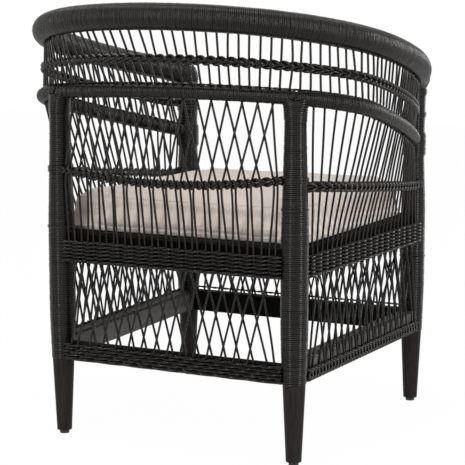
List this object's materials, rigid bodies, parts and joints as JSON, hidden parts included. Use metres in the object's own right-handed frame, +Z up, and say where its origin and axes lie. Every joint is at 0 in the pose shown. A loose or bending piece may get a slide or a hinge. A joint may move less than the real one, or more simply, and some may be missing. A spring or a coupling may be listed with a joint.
{
  "type": "rattan armchair",
  "caption": "Low-backed armchair of cane-bound poles with a horseshoe back and arms, woven lattice sides, tapered wooden feet and a loose seat cushion.",
  "frame": {"origin": "on the floor under the middle of the bounding box", "axes": "+Z up, the chair faces -Y, +X is the sitter's left"},
  "size_m": [0.728, 0.6912, 0.8064],
  "materials": {
    "black_cane": "satin black stain",
    "pole": "black stain",
    "leg_wood": "matte dark stain",
    "rail_wood": "matte dark stain",
    "linen": "plain weave",
    "zip": "matte",
    "foam": "open cell",
    "glide": "matte"
  },
  "bodies": {
    "frame": {"arm_dowels": "rail_wood", "arm_stakes_left": "black_cane", "arm_stakes_right": "black_cane", "back_braid": "black_cane", "back_lattice_inner": "black_cane", "back_lattice_outer": "black_cane", "back_stakes": "black_cane", "bottom_band_front": "black_cane", "bottom_band_left": "black_cane", "bottom_band_rear": "black_cane", "bottom_band_right": "black_cane", "bottom_rail_front": "rail_wood", "bottom_rail_left": "rail_wood", "bottom_rail_rear": "rail_wood", "bottom_rail_right": "rail_wood", "leg_binding_front_left": "black_cane", "leg_binding_front_right": "black_cane", "leg_binding_rear_left": "black_cane", "leg_binding_rear_right": "black_cane", "leg_front_left": "leg_wood", "leg_front_right": "leg_wood", "leg_glides": "glide", "leg_rear_left": "leg_wood", "leg_rear_right": "leg_wood", "mid_rail": "pole", "mid_rail_binding": "black_cane", "post_dowels": "rail_wood", "seat_band_front": "black_cane", "seat_band_left": "black_cane", "seat_band_rear": "black_cane", "seat_band_right": "black_cane", "seat_canes": "black_cane", "seat_cleat_front": "rail_wood", "seat_cleat_rear": "rail_wood", "seat_rail_front": "rail_wood", "seat_rail_left": "rail_wood", "seat_rail_rear": "rail_wood", "seat_rail_right": "rail_wood", "seat_slats": "rail_wood", "side_braid_left": "black_cane", "side_braid_right": "black_cane", "side_stakes_left": "black_cane", "side_stakes_right": "black_cane", "skirt_lattice_front": "black_cane", "skirt_lattice_left": "black_cane", "skirt_lattice_rear": "black_cane", "skirt_lattice_right": "black_cane", "top_rail": "pole", "top_rail_binding": "black_cane", "upper_braid": "black_cane"},
    "cushion": {"cushion_cover": "linen", "cushion_foam": "foam", "cushion_zip": "zip"}
  },
  "joints": [
    {"name": "cushion_lift", "type": "slide", "parent": "frame", "child": "cushion", "axis": [0, 0, 1], "range_m": [0, 0.45]}
  ]
}
